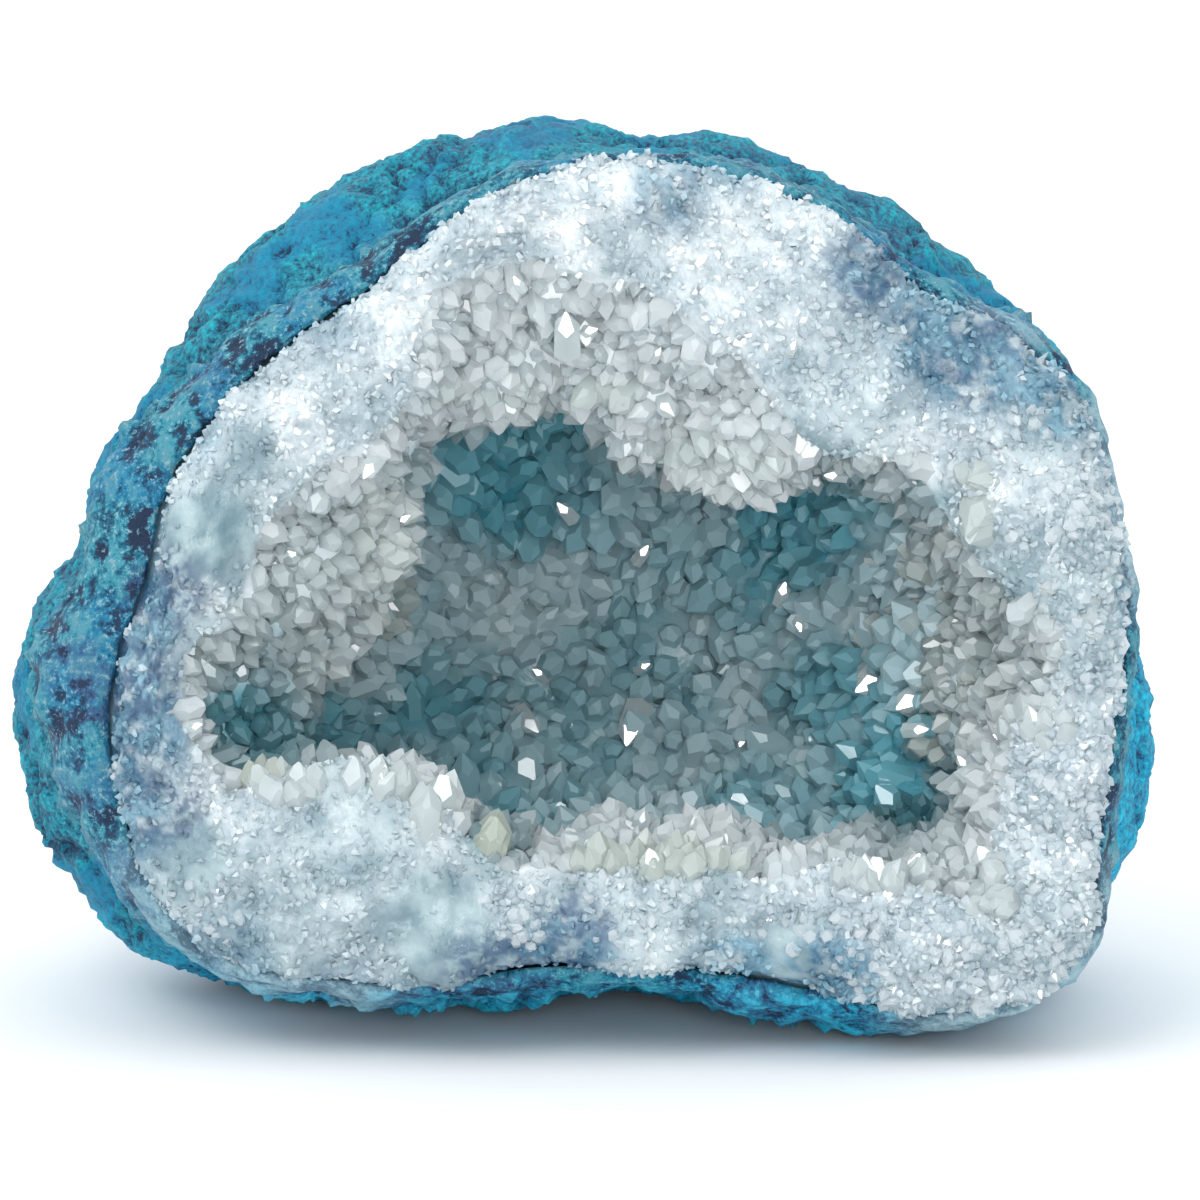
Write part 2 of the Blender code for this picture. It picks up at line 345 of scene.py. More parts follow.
front_verts = [vert for vert in rind_shape.verts if about_mouth(vert.co)[2] < RIND_EVENED_DEPTH]
for _ in range(3):
    bmesh.ops.smooth_vert(rind_shape, verts=front_verts, factor=0.5,
                          use_axis_x=True, use_axis_y=True, use_axis_z=True)
for vert in rind_shape.verts:
    vert.co.z = max(vert.co.z, 0.0)
bmesh.ops.recalc_face_normals(rind_shape, faces=rind_shape.faces)

rind_mesh = bpy.data.meshes.new("rind_crust")
rind_shape.to_mesh(rind_mesh)
rind_shape.free()
rind_mesh.shade_smooth()
rind_crust = bpy.data.objects.new("rind_crust", rind_mesh)
bpy.context.scene.collection.objects.link(rind_crust)

# Dyed rock: saturated turquoise where the skin is smooth, paler and dusty on the granular ridge
# beside the break, indigo and violet where the dye has pooled, and painted shade: darker in the
# low parts of the crust and nearly black in the pits. Painted light makes the bottom a brighter
# blue.
rind_paint = bpy.data.materials.new("dyed_rock")
rind_paint.use_nodes = True
nodes = rind_paint.node_tree.nodes
links = rind_paint.node_tree.links


def attribute(name):
    """Value that the mesh carries at each point."""
    node = nodes.new("ShaderNodeAttribute")
    node.attribute_name = name
    return node.outputs["Fac"]


def grains(size, detail=3.0, rough=0.6):
    """Cloudy noise, 0 to 1, with swells of the given size in metres."""
    node = nodes.new("ShaderNodeTexNoise")
    node.inputs["Scale"].default_value = 1.0 / size
    node.inputs["Detail"].default_value = detail
    node.inputs["Roughness"].default_value = rough
    links.new(place.outputs["Object"], node.inputs["Vector"])
    return node.outputs["Fac"]


def stretch(value, low, high, to_low=0.0, to_high=1.0):
    """A value spread from low..high to another range, and held there."""
    node = nodes.new("ShaderNodeMapRange")
    node.inputs["From Min"].default_value = low
    node.inputs["From Max"].default_value = high
    node.inputs["To Min"].default_value = to_low
    node.inputs["To Max"].default_value = to_high
    links.new(value, node.inputs["Value"])
    return node.outputs["Result"]


def sums(kind, first, second):
    """Two values, or a value and a number, put together: ADD, MULTIPLY, MAXIMUM and so on."""
    node = nodes.new("ShaderNodeMath")
    node.operation = kind
    node.use_clamp = kind != "ADD"
    for socket, item in zip(node.inputs, (first, second)):
        if isinstance(item, (int, float)):
            socket.default_value = item
        else:
            links.new(item, socket)
    return node.outputs[0]


def blended(share, under, over):
    """Colour over on top of colour under, by a share; a colour is three numbers or a socket."""
    node = nodes.new("ShaderNodeMix")
    node.data_type = "RGBA"
    links.new(share, node.inputs["Factor"])
    for label, item in (("A", under), ("B", over)):
        socket = next(one for one in node.inputs if one.name == label and one.type == "RGBA")
        if isinstance(item, tuple):
            socket.default_value = (*item, 1.0)
        else:
            links.new(item, socket)
    return next(one for one in node.outputs if one.type == "RGBA")


def roughened(shader, height, strength, distance):
    """Fine relief on a shader from a value."""
    node = nodes.new("ShaderNodeBump")
    node.inputs["Strength"].default_value = strength
    node.inputs["Distance"].default_value = distance
    links.new(height, node.inputs["Height"])
    links.new(node.outputs["Normal"], shader.inputs["Normal"])


place = nodes.new("ShaderNodeTexCoord")
rock = nodes["Principled BSDF"]
rock.inputs["Specular IOR Level"].default_value = 0.3
relief = attribute("height")
fine = grains(0.45 * MM, 3.0, 0.75)
# Swell is the height of the crust with its grain. Most colours below run darker where it is low
# and paler where it is high: painted shade in the crevices and painted light on the tops, beside
# the dye's own shades.
swell = sums("ADD", stretch(relief, -0.8, 0.7, -0.55, 0.36), stretch(fine, 0.32, 0.68, 0.15, 0.85))
turquoise = blended(stretch(swell, 0.18, 0.83), (0.001, 0.06, 0.13), (0.010, 0.41, 0.51))
turquoise = blended(attribute("blue"), turquoise, (0.002, 0.19, 0.36))
dust = sums("MULTIPLY", attribute("dusty"), stretch(swell, 0.34, 0.80))
colour = blended(sums("MULTIPLY", dust, 0.8), turquoise, (0.09, 0.22, 0.28))
flecks = sums("MULTIPLY", attribute("dusty"), stretch(fine, 0.56, 0.68, 0.0, 0.8))
colour = blended(flecks, colour, (0.30, 0.43, 0.47))
# Painted light: the brighter, more saturated blue painted on the bottom of the rind and a strip of
# its right side.
painted_bright_blue = blended(stretch(swell, 0.20, 0.80), (0.003, 0.17, 0.34), (0.015, 0.58, 0.82))
colour = blended(sums("MULTIPLY", attribute("painted_bright_blue"), 0.8), colour, painted_bright_blue)
pooled = sums("MULTIPLY", attribute("violet"), stretch(swell, 0.75, 0.25, 0.2, 0.9))
colour = blended(pooled, colour, (0.032, 0.075, 0.18))
# Painted shade: nearly black in the lowest parts of the crust, the pits and crevices.
colour = blended(stretch(swell, 0.22, 0.02, 0.0, 0.9), colour, (0.003, 0.014, 0.045))
hardly_dyed = blended(stretch(swell, 0.0, 0.7), (0.12, 0.23, 0.30), (0.40, 0.53, 0.58))
colour = blended(sums("MULTIPLY", attribute("pale"), 0.9), colour, hardly_dyed)
links.new(colour, rock.inputs["Base Color"])
links.new(stretch(fine, 0.3, 0.7, 0.45, 0.8), rock.inputs["Roughness"])
roughened(rock, fine, 0.8, 0.30 * MM)
rind_mesh.materials.append(rind_paint)
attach(rind_crust, "root")
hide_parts("rock_rind")

# The quartz lining: massive milky quartz, broken through at the rim, where it shows a sugary,
# glittering face, and swollen into grape-like knobs all over the hollow. One closed body.
RIM_FACET = 0.40 * MM
WALL_FACET = 0.80 * MM
BACK_FACET = 3.0 * MM
RIM_DEPTH = 4.5
WALL_TIPS = 0.9
WALL_KNOB_SIZE = 6.0
DEEP_FROM = 13.0
DEEP_BY = 16.0
QUARTZ_IOR = 1.54

# Where the broken face ends and the crystals begin, as pixels of the frame
DRUSE_EDGE = [
    (430, 300), (500, 270), (640, 290), (700, 335), (745, 370), (775, 420), (812, 456), (930, 466),
    (935, 510), (960, 560),
    (1000, 600), (1060, 640), (1040, 690), (1010, 720), (1000, 780), (980, 830), (1005, 900),
    (930, 880), (860, 850), (760, 870), (690, 850), (600, 860), (520, 870), (450, 800), (380, 755),
    (300, 770), (230, 780), (190, 720), (195, 660), (250, 600), (275, 530), (320, 480), (400, 430),
    (430, 380),
]


def within(outline, spot):
    """Distance in pixels inside (+) or outside (-) a closed outline."""
    nearest = 1.0e9
    inside = False
    x, y = spot
    x0, y0 = outline[-1]
    for x1, y1 in outline:
        run_x = x1 - x0
        run_y = y1 - y0
        share = ((x - x0) * run_x + (y - y0) * run_y) / (run_x * run_x + run_y * run_y)
        share = min(max(share, 0.0), 1.0)
        nearest = min(nearest, math.hypot(x - x0 - share * run_x, y - y0 - share * run_y))
        if (y0 > y) != (y1 > y) and x < x0 + (y - y0) * run_x / run_y:
            inside = not inside
        x0, y0 = x1, y1
    return nearest if inside else -nearest


rind_solid = merged_copy("rock_rind")
rind_tree = BVHTree.FromBMesh(rind_solid)
rind_solid.free()


def lining_facet_at(point):
    if about_mouth(point)[2] < RIM_DEPTH:
        return RIM_FACET
    return BACK_FACET if rind_tree.find_nearest(point)[3] < RIND_HIDDEN_GAP else WALL_FACET


refine(lining_shape, lining_facet_at, 6)
lining_shape.normal_update()
druse = lining_shape.verts.layers.float.new("druse")
near = lining_shape.verts.layers.float.new("near")
far = lining_shape.verts.layers.float.new("far")
sugary = lining_shape.verts.layers.float.new("sugary")
painted_shade = lining_shape.verts.layers.float.new("painted_shade")
pool = lining_shape.verts.layers.float.new("pool")
teal = lining_shape.verts.layers.float.new("teal")
glassy = lining_shape.verts.layers.float.new("glassy")
violet = lining_shape.verts.layers.float.new("violet")
dyed = lining_shape.verts.layers.float.new("dyed")
cloud = lining_shape.verts.layers.float.new("cloud")

# The whitest parts of the broken face, smooth milky pools in it, and swells of it: pixels,
# radius, strength
BRIGHT_SPOTS = [
    (760, 235, 120, 1.0), (640, 205, 90, 0.8), (560, 245, 90, 0.7), (400, 350, 90, 0.7),
    (840, 400, 80, 0.6), (1060, 850, 80, 0.7), (370, 800, 70, 0.6), (310, 420, 50, 0.6),
    (640, 905, 90, 0.7), (980, 400, 60, 0.5),
]
POOL_SPOTS = [
    (210, 530, 75, 1.0), (250, 460, 50, 0.6), (350, 840, 90, 0.55), (440, 930, 95, 0.9),
    (785, 955, 65, 0.9), (190, 860, 70, 0.8), (640, 930, 150, 0.45), (1040, 430, 60, 0.5),
    (830, 410, 90, 0.45), (1085, 600, 130, 0.5), (270, 930, 110, 0.45), (1040, 930, 90, 0.35),
]
SWELL_SPOTS = [
    (370, 820, 120, 1.8), (740, 300, 160, 0.8), (840, 410, 90, 1.2), (1040, 760, 80, 1.0),
    (640, 890, 90, 0.8), (880, 880, 60, 0.8), (590, 210, 130, 0.6), (1060, 560, 70, 0.8),
]
# Parts of the broken face that are all small clear crystals
GLASSY_SPOTS = [
    (1090, 520, 90, 1.0), (1090, 660, 100, 1.0), (1060, 800, 110, 1.0), (1020, 940, 120, 1.0),
    (900, 960, 90, 0.8), (800, 900, 60, 0.7), (520, 910, 60, 0.8), (230, 770, 45, 1.0),
    (640, 880, 90, 0.7), (1000, 440, 70, 0.6), (200, 930, 70, 0.5), (830, 360, 60, 0.5),
]
# Parts of the hollow where the dye is deep teal, and the painted shade there teal with it;
# elsewhere it is greyer
TEAL_SPOTS = [
    (520, 450, 140, 1.0), (790, 530, 110, 1.0), (240, 745, 90, 1.0), (830, 700, 90, 0.9),
    (440, 730, 110, 0.7), (760, 800, 80, 0.5), (640, 430, 60, 0.9), (920, 480, 60, 0.8),
    (560, 740, 120, 0.45), (650, 690, 100, 0.40), (700, 600, 120, 0.35),
]
# Recesses of the hollow that lie in the dark though they are not deep
DARK_SPOTS = [
    (250, 735, 95, 1.0), (330, 735, 60, 1.0), (420, 720, 60, 0.8), (440, 480, 60, 0.8),
    (850, 490, 60, 0.9), (920, 510, 40, 0.7), (500, 830, 50, 0.7), (890, 780, 100, 1.0),
]
# Clusters of crystals near the viewer that are greyer than the rest: painted shade
SHADED_SPOTS = [
    (350, 590, 130, 0.50), (270, 670, 100, 0.75), (930, 630, 140, 0.55), (900, 790, 100, 0.65),
]
# Where the dye has crept in from the edge of the broken face
DYED_SPOTS = [
    (980, 320, 130, 1.0), (1060, 390, 70, 0.9), (830, 985, 70, 1.0), (730, 980, 60, 1.0),
    (560, 975, 90, 0.8), (170, 420, 70, 0.6), (105, 620, 110, 1.0), (110, 730, 110, 1.0),
    (120, 820, 70, 0.8), (670, 190, 60, 0.5), (230, 960, 70, 0.4), (1120, 830, 50, 0.4),
    (340, 320, 50, 0.3), (870, 270, 60, 0.6),
]


for vert in lining_shape.verts:
    gap = rind_tree.find_nearest(vert.co)[3]
    spot = vert.co / MM
    depth = about_mouth(vert.co)[2]
    shown = max(ease(0.5 * MM, 1.0 * MM, gap), 1.0 - ease(3.2, RIM_DEPTH, depth))
    shown *= ease(0.3, 2.0, spot.z)
    pixel = pixel_of(vert.co)
    share = ease(-16.0, 6.0, within(DRUSE_EDGE, pixel)) if depth < 9.0 else 1.0
    smooth = spotted(pixel, POOL_SPOTS) if depth < 6.0 else 0.0
    vert[druse] = share * shown
    vert[far] = share * shown * ease(DEEP_FROM, DEEP_BY, depth)
    vert[near] = share * shown * (1.0 - ease(DEEP_FROM, DEEP_BY, depth))
    stained = spotted(pixel, VIOLET_SPOTS) if depth < 8.0 else 0.0
    vert[sugary] = (1.0 - share) * (1.0 - ease(0.45, 1.0, smooth)) * (1.0 - 0.5 * stained) * shown
    # Painted shade: darker deep in the hollow, in recesses that lie in the dark and on the greyer
    # clusters near the viewer. It is teal where the dye is, else grey.
    vert[painted_shade] = max(ease(8.5, 16.0, depth), spotted(pixel, SHADED_SPOTS),
                     spotted(pixel, DARK_SPOTS) * ease(1.2, 3.2, depth))
    dark = (0.80 * max(spotted(pixel, TEAL_SPOTS), spotted(pixel, DARK_SPOTS))
            + 0.20 + 0.35 * noise.fractal(spot / 5.0, 0.9, 2.0, 3))
    vert[teal] = min(max(dark, 0.0), 1.0)
    vert[glassy] = (1.0 - share) * shown * spotted(pixel, GLASSY_SPOTS) if depth < 8.0 else 0.0
    vert[pool] = smooth
    pooled = noise.fractal(spot / 1.3 + Vector((3.0, 7.0, 1.0)), 0.7, 2.0, 3)
    vert[violet] = stained * ease(-0.10, 0.18, pooled)
    bright = 0.40 * spotted(pixel, BRIGHT_SPOTS)
    vert[cloud] = 0.20 + bright + 0.60 * noise.fractal(spot / 3.2, 0.7, 2.0, 4)
    edge = 1.0 - ease(0.4, 2.2, gap / MM + 1.2 * noise.noise(spot / 3.0))
    soaked = ease(-0.60, 0.05, noise.fractal(spot / 1.6, 0.7, 2.0, 3))
    stony = min(1.5 * max(0.5 * edge, spotted(pixel, DYED_SPOTS)), 1.0)
    vert[dyed] = soaked * stony if depth < 8.0 else 0.0
    rolling = noise.fractal(spot / 6.0, 0.9, 2.0, 3)
    rim = (rolling * 0.7 + chips(spot, 1.8, 0.26) * (1.0 - 0.8 * smooth)
           + chips(spot + Vector((9.0, 4.0, 2.0)), 0.8, 0.35) * (1.0 - 0.9 * smooth)
           + 0.5 * spotted(pixel, SWELL_SPOTS))
    knobby = domes(spot + 0.8 * noise.noise_vector(spot / 4.0), WALL_KNOB_SIZE, 1.3)
    wall = (knobby - 0.5) * 2.2 - WALL_TIPS
    rim -= 0.35 * (1.0 - ease(0.0, 2.5, depth))
    vert.co += vert.normal * ((rim * (1.0 - share) + wall * share) * shown * MM)
for vert in lining_shape.verts:
    vert.co.z = max(vert.co.z, 0.0)
bmesh.ops.recalc_face_normals(lining_shape, faces=lining_shape.faces)

lining_mesh = bpy.data.meshes.new("massive_quartz")
lining_shape.to_mesh(lining_mesh)
lining_shape.free()
lining_mesh.shade_smooth()
lining_mesh.set_sharp_from_angle(angle=math.radians(35.0))
massive_quartz = bpy.data.objects.new("massive_quartz", lining_mesh)
bpy.context.scene.collection.objects.link(massive_quartz)

milk = bpy.data.materials.new("milky_quartz")
milk.use_nodes = True
nodes = milk.node_tree.nodes
links = milk.node_tree.links
place = nodes.new("ShaderNodeTexCoord")
stone = nodes["Principled BSDF"]
fine = grains(0.35 * MM, 2.0, 0.7)
# Each grain of the sugar lightens by its own random tone; the massive quartz between the grains
# has none and comes out darker: painted shade in the gaps.
grain_tone_and_gap_shade = sums("ADD", sums("MULTIPLY", attribute("tone"), 0.50), attribute("cloud"))
grain_tone_and_gap_shade = sums("ADD", grain_tone_and_gap_shade, stretch(fine, 0.30, 0.70, -0.05, 0.25))
colour = blended(stretch(grain_tone_and_gap_shade, 0.05, 0.95), (0.33, 0.42, 0.465), (0.69, 0.745, 0.765))
colour = blended(stretch(grain_tone_and_gap_shade, 0.85, 1.15), colour, (0.88, 0.90, 0.90))
milky = blended(stretch(attribute("cloud"), 0.0, 0.5), (0.13, 0.23, 0.27), (0.31, 0.43, 0.46))
colour = blended(sums("MULTIPLY", attribute("pool"), 0.9), colour, milky)
stone_blue = blended(stretch(grain_tone_and_gap_shade, 0.15, 0.85), (0.03, 0.12, 0.20), (0.21, 0.38, 0.47))
colour = blended(attribute("dyed"), colour, stone_blue)
colour = blended(sums("MULTIPLY", attribute("violet"), 0.8), colour, (0.028, 0.080, 0.17))
colour = blended(attribute("druse"), colour, (0.84, 0.88, 0.89))
# Painted shade over the hollow: grey, and dark teal where the dye is.
shade_colours = blended(attribute("teal"), (0.38, 0.49, 0.51), (0.05, 0.25, 0.32))
colour = blended(attribute("painted_shade"), colour, shade_colours)
links.new(colour, stone.inputs["Base Color"])
stone.inputs["Roughness"].default_value = 0.28
stone.inputs["IOR"].default_value = QUARTZ_IOR
roughened(stone, fine, 0.5, 0.15 * MM)
lining_mesh.materials.append(milk)
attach(massive_quartz, "root")
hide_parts("quartz_lining")

# The crystals: clear six-sided quartz points, each rooted in the massive quartz, standing
# every way off the knobs of the hollow. They are cut from a prism by the six tip faces.
CRYSTAL_KINDS = 6
CRYSTAL_TIP_SLOPE = math.radians(38.2)
PRISM_RADIUS = 0.5
PRISM_TOP_RADIUS = 0.42
PRISM_LENGTH = 2.3
PRISM_MIDDLE = 0.45
MOST_ROOTS = 4.0e6
SHORTEST = 0.8
LONGEST = 1.2


def quartz_point(name, facet_drop=0.0, tip=1.0):
    """One crystal, 1 mm across, its root 0.7 mm below the surface and its tip so far above. A
    drop makes the first of its six tip faces larger than the others."""
    shape = bmesh.new()
    bmesh.ops.create_cone(shape, cap_ends=True, segments=6, radius1=PRISM_RADIUS,
                          radius2=PRISM_TOP_RADIUS, depth=PRISM_LENGTH)
    bmesh.ops.translate(shape, verts=shape.verts, vec=(0.0, 0.0, PRISM_MIDDLE))
    for side in range(6):
        turn = math.radians(30.0 + 60.0 * side)
        minor = side % 2
        drop = facet_drop if side == 0 and facet_drop else (0.12 + 0.16 * minor) * noise.random()
        out = Vector((math.cos(turn) * math.cos(CRYSTAL_TIP_SLOPE),
                      math.sin(turn) * math.cos(CRYSTAL_TIP_SLOPE), math.sin(CRYSTAL_TIP_SLOPE)))
        reach = Vector((0.0, 0.0, tip + 0.10 * minor - drop))
        cut = bmesh.ops.bisect_plane(shape, geom=shape.verts[:] + shape.edges[:] + shape.faces[:],
                                     dist=1.0e-5, plane_co=reach, plane_no=out, clear_outer=True)
        edges = [item for item in cut["geom_cut"] if isinstance(item, bmesh.types.BMEdge)]
        bmesh.ops.contextual_create(shape, geom=edges)
    for vert in shape.verts:
        vert.co *= MM
    bmesh.ops.remove_doubles(shape, verts=shape.verts, dist=1.0e-7)
    bmesh.ops.recalc_face_normals(shape, faces=shape.faces)
    mesh = bpy.data.meshes.new(name)
    shape.to_mesh(mesh)
    shape.free()
    return bpy.data.objects.new(name, mesh)


noise.seed_set(7)
crystal_kinds = bpy.data.collections.new("crystal_kinds")
for kind in range(CRYSTAL_KINDS):
    crystal_kinds.objects.link(quartz_point("crystal_kind_%d" % kind))


def grow_tree(name):
    """Geometry nodes that set crystals on a surface and join them into one mesh."""
    tree = bpy.data.node_groups.new(name, "GeometryNodeTree")
    sockets = tree.interface
    sockets.new_socket("Geometry", in_out="INPUT", socket_type="NodeSocketGeometry")
    for label, kind in (("Spacing", "NodeSocketFloat"), ("Seed", "NodeSocketInt"),
                        ("Smallest", "NodeSocketFloat"), ("Largest", "NodeSocketFloat"),
                        ("Lean", "NodeSocketFloat"), ("Where", "NodeSocketString"),
                        ("Kinds", "NodeSocketCollection"), ("Material", "NodeSocketMaterial")):
        sockets.new_socket(label, in_out="INPUT", socket_type=kind)
    sockets.new_socket("Geometry", in_out="OUTPUT", socket_type="NodeSocketGeometry")
    make = tree.nodes.new
    join = tree.links.new
    start = make("NodeGroupInput")
    end = make("NodeGroupOutput")

    where = make("GeometryNodeInputNamedAttribute")
    where.data_type = "FLOAT"
    join(start.outputs["Where"], where.inputs["Name"])
    roots = make("GeometryNodeDistributePointsOnFaces")
    roots.distribute_method = "POISSON"
    roots.inputs["Density Max"].default_value = MOST_ROOTS
    join(start.outputs["Geometry"], roots.inputs["Mesh"])
    join(start.outputs["Spacing"], roots.inputs["Distance Min"])
    join(where.outputs["Attribute"], roots.inputs["Density Factor"])
    join(start.outputs["Seed"], roots.inputs["Seed"])

    lean_low = make("ShaderNodeCombineXYZ")
    lean_high = make("ShaderNodeCombineXYZ")
    minus = make("ShaderNodeMath")
    minus.operation = "MULTIPLY"
    minus.inputs[1].default_value = -1.0
    join(start.outputs["Lean"], minus.inputs[0])
    for axis in ("X", "Y"):
        join(minus.outputs[0], lean_low.inputs[axis])
        join(start.outputs["Lean"], lean_high.inputs[axis])
    lean_high.inputs["Z"].default_value = 2.0 * math.pi
    turn = make("FunctionNodeRandomValue")
    turn.data_type = "FLOAT_VECTOR"
    join(lean_low.outputs[0], turn.inputs["Min"])
    join(lean_high.outputs[0], turn.inputs["Max"])
    join(start.outputs["Seed"], turn.inputs["Seed"])
    turned = make("FunctionNodeRotateRotation")
    turned.rotation_space = "LOCAL"
    join(roots.outputs["Rotation"], turned.inputs["Rotation"])
    join(turn.outputs["Value"], turned.inputs["Rotate By"])

    size = make("FunctionNodeRandomValue")
    size.data_type = "FLOAT"
    join(start.outputs["Smallest"], size.inputs[2])
    join(start.outputs["Largest"], size.inputs[3])
    join(start.outputs["Seed"], size.inputs["Seed"])
    length = make("FunctionNodeRandomValue")
    length.data_type = "FLOAT_VECTOR"
    length.inputs[0].default_value = (SHORTEST, SHORTEST, SHORTEST)
    length.inputs[1].default_value = (LONGEST, LONGEST, LONGEST)
    join(start.outputs["Seed"], length.inputs["Seed"])
    scale = make("ShaderNodeVectorMath")
    scale.operation = "SCALE"
    join(length.outputs["Value"], scale.inputs[0])
    join(size.outputs[1], scale.inputs["Scale"])

    kinds = make("GeometryNodeCollectionInfo")
    kinds.inputs["Separate Children"].default_value = True
    join(start.outputs["Kinds"], kinds.inputs["Collection"])
    grow = make("GeometryNodeInstanceOnPoints")
    grow.inputs["Pick Instance"].default_value = True
    join(roots.outputs["Points"], grow.inputs["Points"])
    join(kinds.outputs["Instances"], grow.inputs["Instance"])
    join(turned.outputs["Rotation"], grow.inputs["Rotation"])
    join(scale.outputs["Vector"], grow.inputs["Scale"])

    tone = make("FunctionNodeRandomValue")
    tone.data_type = "FLOAT"
    join(start.outputs["Seed"], tone.inputs["Seed"])
    keep = make("GeometryNodeStoreNamedAttribute")
    keep.domain = "INSTANCE"
    keep.data_type = "FLOAT"
    keep.inputs["Name"].default_value = "tone"
    join(grow.outputs["Instances"], keep.inputs["Geometry"])
    join(tone.outputs[1], keep.inputs["Value"])
    real = make("GeometryNodeRealizeInstances")
    join(keep.outputs["Geometry"], real.inputs["Geometry"])
    paint = make("GeometryNodeSetMaterial")
    join(real.outputs["Geometry"], paint.inputs["Geometry"])
    join(start.outputs["Material"], paint.inputs["Material"])
    join(paint.outputs["Geometry"], end.inputs["Geometry"])
    return tree


grow_crystals = grow_tree("grow_crystals")


def grown(name, ground, tree, **wanted):
    """Plain mesh object of what a geometry nodes tree grows on the ground object."""
    host = bpy.data.objects.new(name, ground.data.copy())
    bpy.context.scene.collection.objects.link(host)
    change = host.modifiers.new("grow", "NODES")
    change.node_group = tree
    for item in tree.interface.items_tree:
        if item.in_out == "INPUT" and item.name in wanted:
            change[item.identifier] = wanted[item.name]
    evaluated = host.evaluated_get(bpy.context.evaluated_depsgraph_get())
    mesh = bpy.data.meshes.new_from_object(evaluated)
    mesh.name = name
    for vert in mesh.vertices:
        vert.co.z = max(vert.co.z, 0.0)
    host.modifiers.clear()
    spare = host.data
    host.data = mesh
    bpy.data.meshes.remove(spare)
    return host


# Half-clear quartz, one kind for each part of the stone: how much of the light goes through it,
# its colour in the palest and in the greyest crystals, and the painted shade that it takes deep
# in the hollow and in its dark recesses, grey and, where the dye is, teal
CRYSTAL_PAINTS = {
    "cloudy_quartz": (0.52, (0.92, 0.975, 0.99), (0.74, 0.82, 0.84),
                      (0.52, 0.59, 0.58), (0.11, 0.29, 0.34)),
    "dyed_quartz": (0.20, (0.92, 0.95, 0.94), (0.80, 0.86, 0.85),
                    (0.62, 0.74, 0.77), (0.15, 0.43, 0.51)),
    "icy_quartz": (0.45, (0.84, 0.92, 0.955), (0.58, 0.69, 0.76),
                   (0.90, 0.95, 0.97), (0.60, 0.80, 0.86)),
    "clear_quartz": (0.60, (0.91, 0.99, 0.995), (0.62, 0.68, 0.42),
                     (0.88, 0.96, 0.93), (0.72, 0.88, 0.90)),
}
crystal_paints = {}
for paint_name, (clearness, pale, grey, grey_shade, teal_shade) in CRYSTAL_PAINTS.items():
    paint = bpy.data.materials.new(paint_name)
    paint.use_nodes = True
    nodes = paint.node_tree.nodes
    links = paint.node_tree.links
    glass = nodes["Principled BSDF"]
    colour = blended(attribute("tone"), grey, pale)
    # Painted shade deep in the hollow and in its dark recesses: grey, and teal where the dye is.
    colour = blended(attribute("painted_shade"), colour, blended(attribute("teal"), grey_shade, teal_shade))
    links.new(colour, glass.inputs["Base Color"])
    glass.inputs["Roughness"].default_value = 0.06
    glass.inputs["IOR"].default_value = QUARTZ_IOR
    glass.inputs["Transmission Weight"].default_value = clearness
    crystal_paints[paint_name] = paint


def stands(piece):
    """The crystals are part of the quartz lining."""
    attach(piece, "root")
    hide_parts("quartz_lining")


front_druse = grown("front_druse", massive_quartz, grow_crystals, Spacing=0.95 * MM, Seed=3,
                    Smallest=1.1, Largest=2.2, Lean=0.6, Where="near", Kinds=crystal_kinds,
                    Material=crystal_paints["cloudy_quartz"])
stands(front_druse)
inner_druse = grown("inner_druse", massive_quartz, grow_crystals, Spacing=1.50 * MM, Seed=5,
                    Smallest=1.5, Largest=2.7, Lean=0.5, Where="far", Kinds=crystal_kinds,
                    Material=crystal_paints["dyed_quartz"])
stands(inner_druse)


# The sugar of the rim: broken grains and stubby crystals of the same quartz, which the break
# left standing on the massive quartz. They are fast in it, and glitter in the light.
CHIP_KINDS = 6
CHIP_CORNERS = 8
STUB_KINDS = 4
STUB_TIP = 0.55


def chip(name, corners):
    """A broken grain of quartz, 1 mm across: flat facets between a few corners."""
    shape = bmesh.new()
    for _ in range(corners):
        away = noise.random_unit_vector(size=3)
        shape.verts.new((away.x * 0.5 * MM, away.y * 0.5 * MM, (away.z * 0.5 + 0.1) * MM))
    bmesh.ops.convex_hull(shape, input=shape.verts)
    bmesh.ops.recalc_face_normals(shape, faces=shape.faces)
    mesh = bpy.data.meshes.new(name)
    shape.to_mesh(mesh)
    shape.free()
    return bpy.data.objects.new(name, mesh)


chip_kinds = bpy.data.collections.new("chip_kinds")
for kind in range(CHIP_KINDS):
    chip_kinds.objects.link(chip("chip_kind_%d" % kind, CHIP_CORNERS))
rim_sugar = grown("rim_sugar", massive_quartz, grow_crystals, Spacing=0.42 * MM, Seed=9,
                  Smallest=0.45, Largest=0.85, Lean=1.2, Where="sugary", Kinds=chip_kinds,
                  Material=milk)
stands(rim_sugar)
stub_kinds = bpy.data.collections.new("stub_kinds")
for kind in range(STUB_KINDS):
    stub_kinds.objects.link(quartz_point("stub_kind_%d" % kind, tip=STUB_TIP))
rim_crystals = grown("rim_crystals", massive_quartz, grow_crystals, Spacing=0.55 * MM, Seed=12,
                     Smallest=0.6, Largest=1.3, Lean=0.6, Where="glassy", Kinds=stub_kinds,
                     Material=crystal_paints["icy_quartz"])
stands(rim_crystals)
for spare_kinds in (chip_kinds, stub_kinds):
    for kind in list(spare_kinds.objects):
        bpy.data.objects.remove(kind, do_unlink=True)
    bpy.data.collections.remove(spare_kinds)

# The larger crystals, placed one by one where the stone shows them: clear, with a faint green
# and yellow cast along their edges, standing proud of the small ones that they grew among.
TIP_HEIGHT = 1.05
MIRROR_FACE_DROP = 0.16


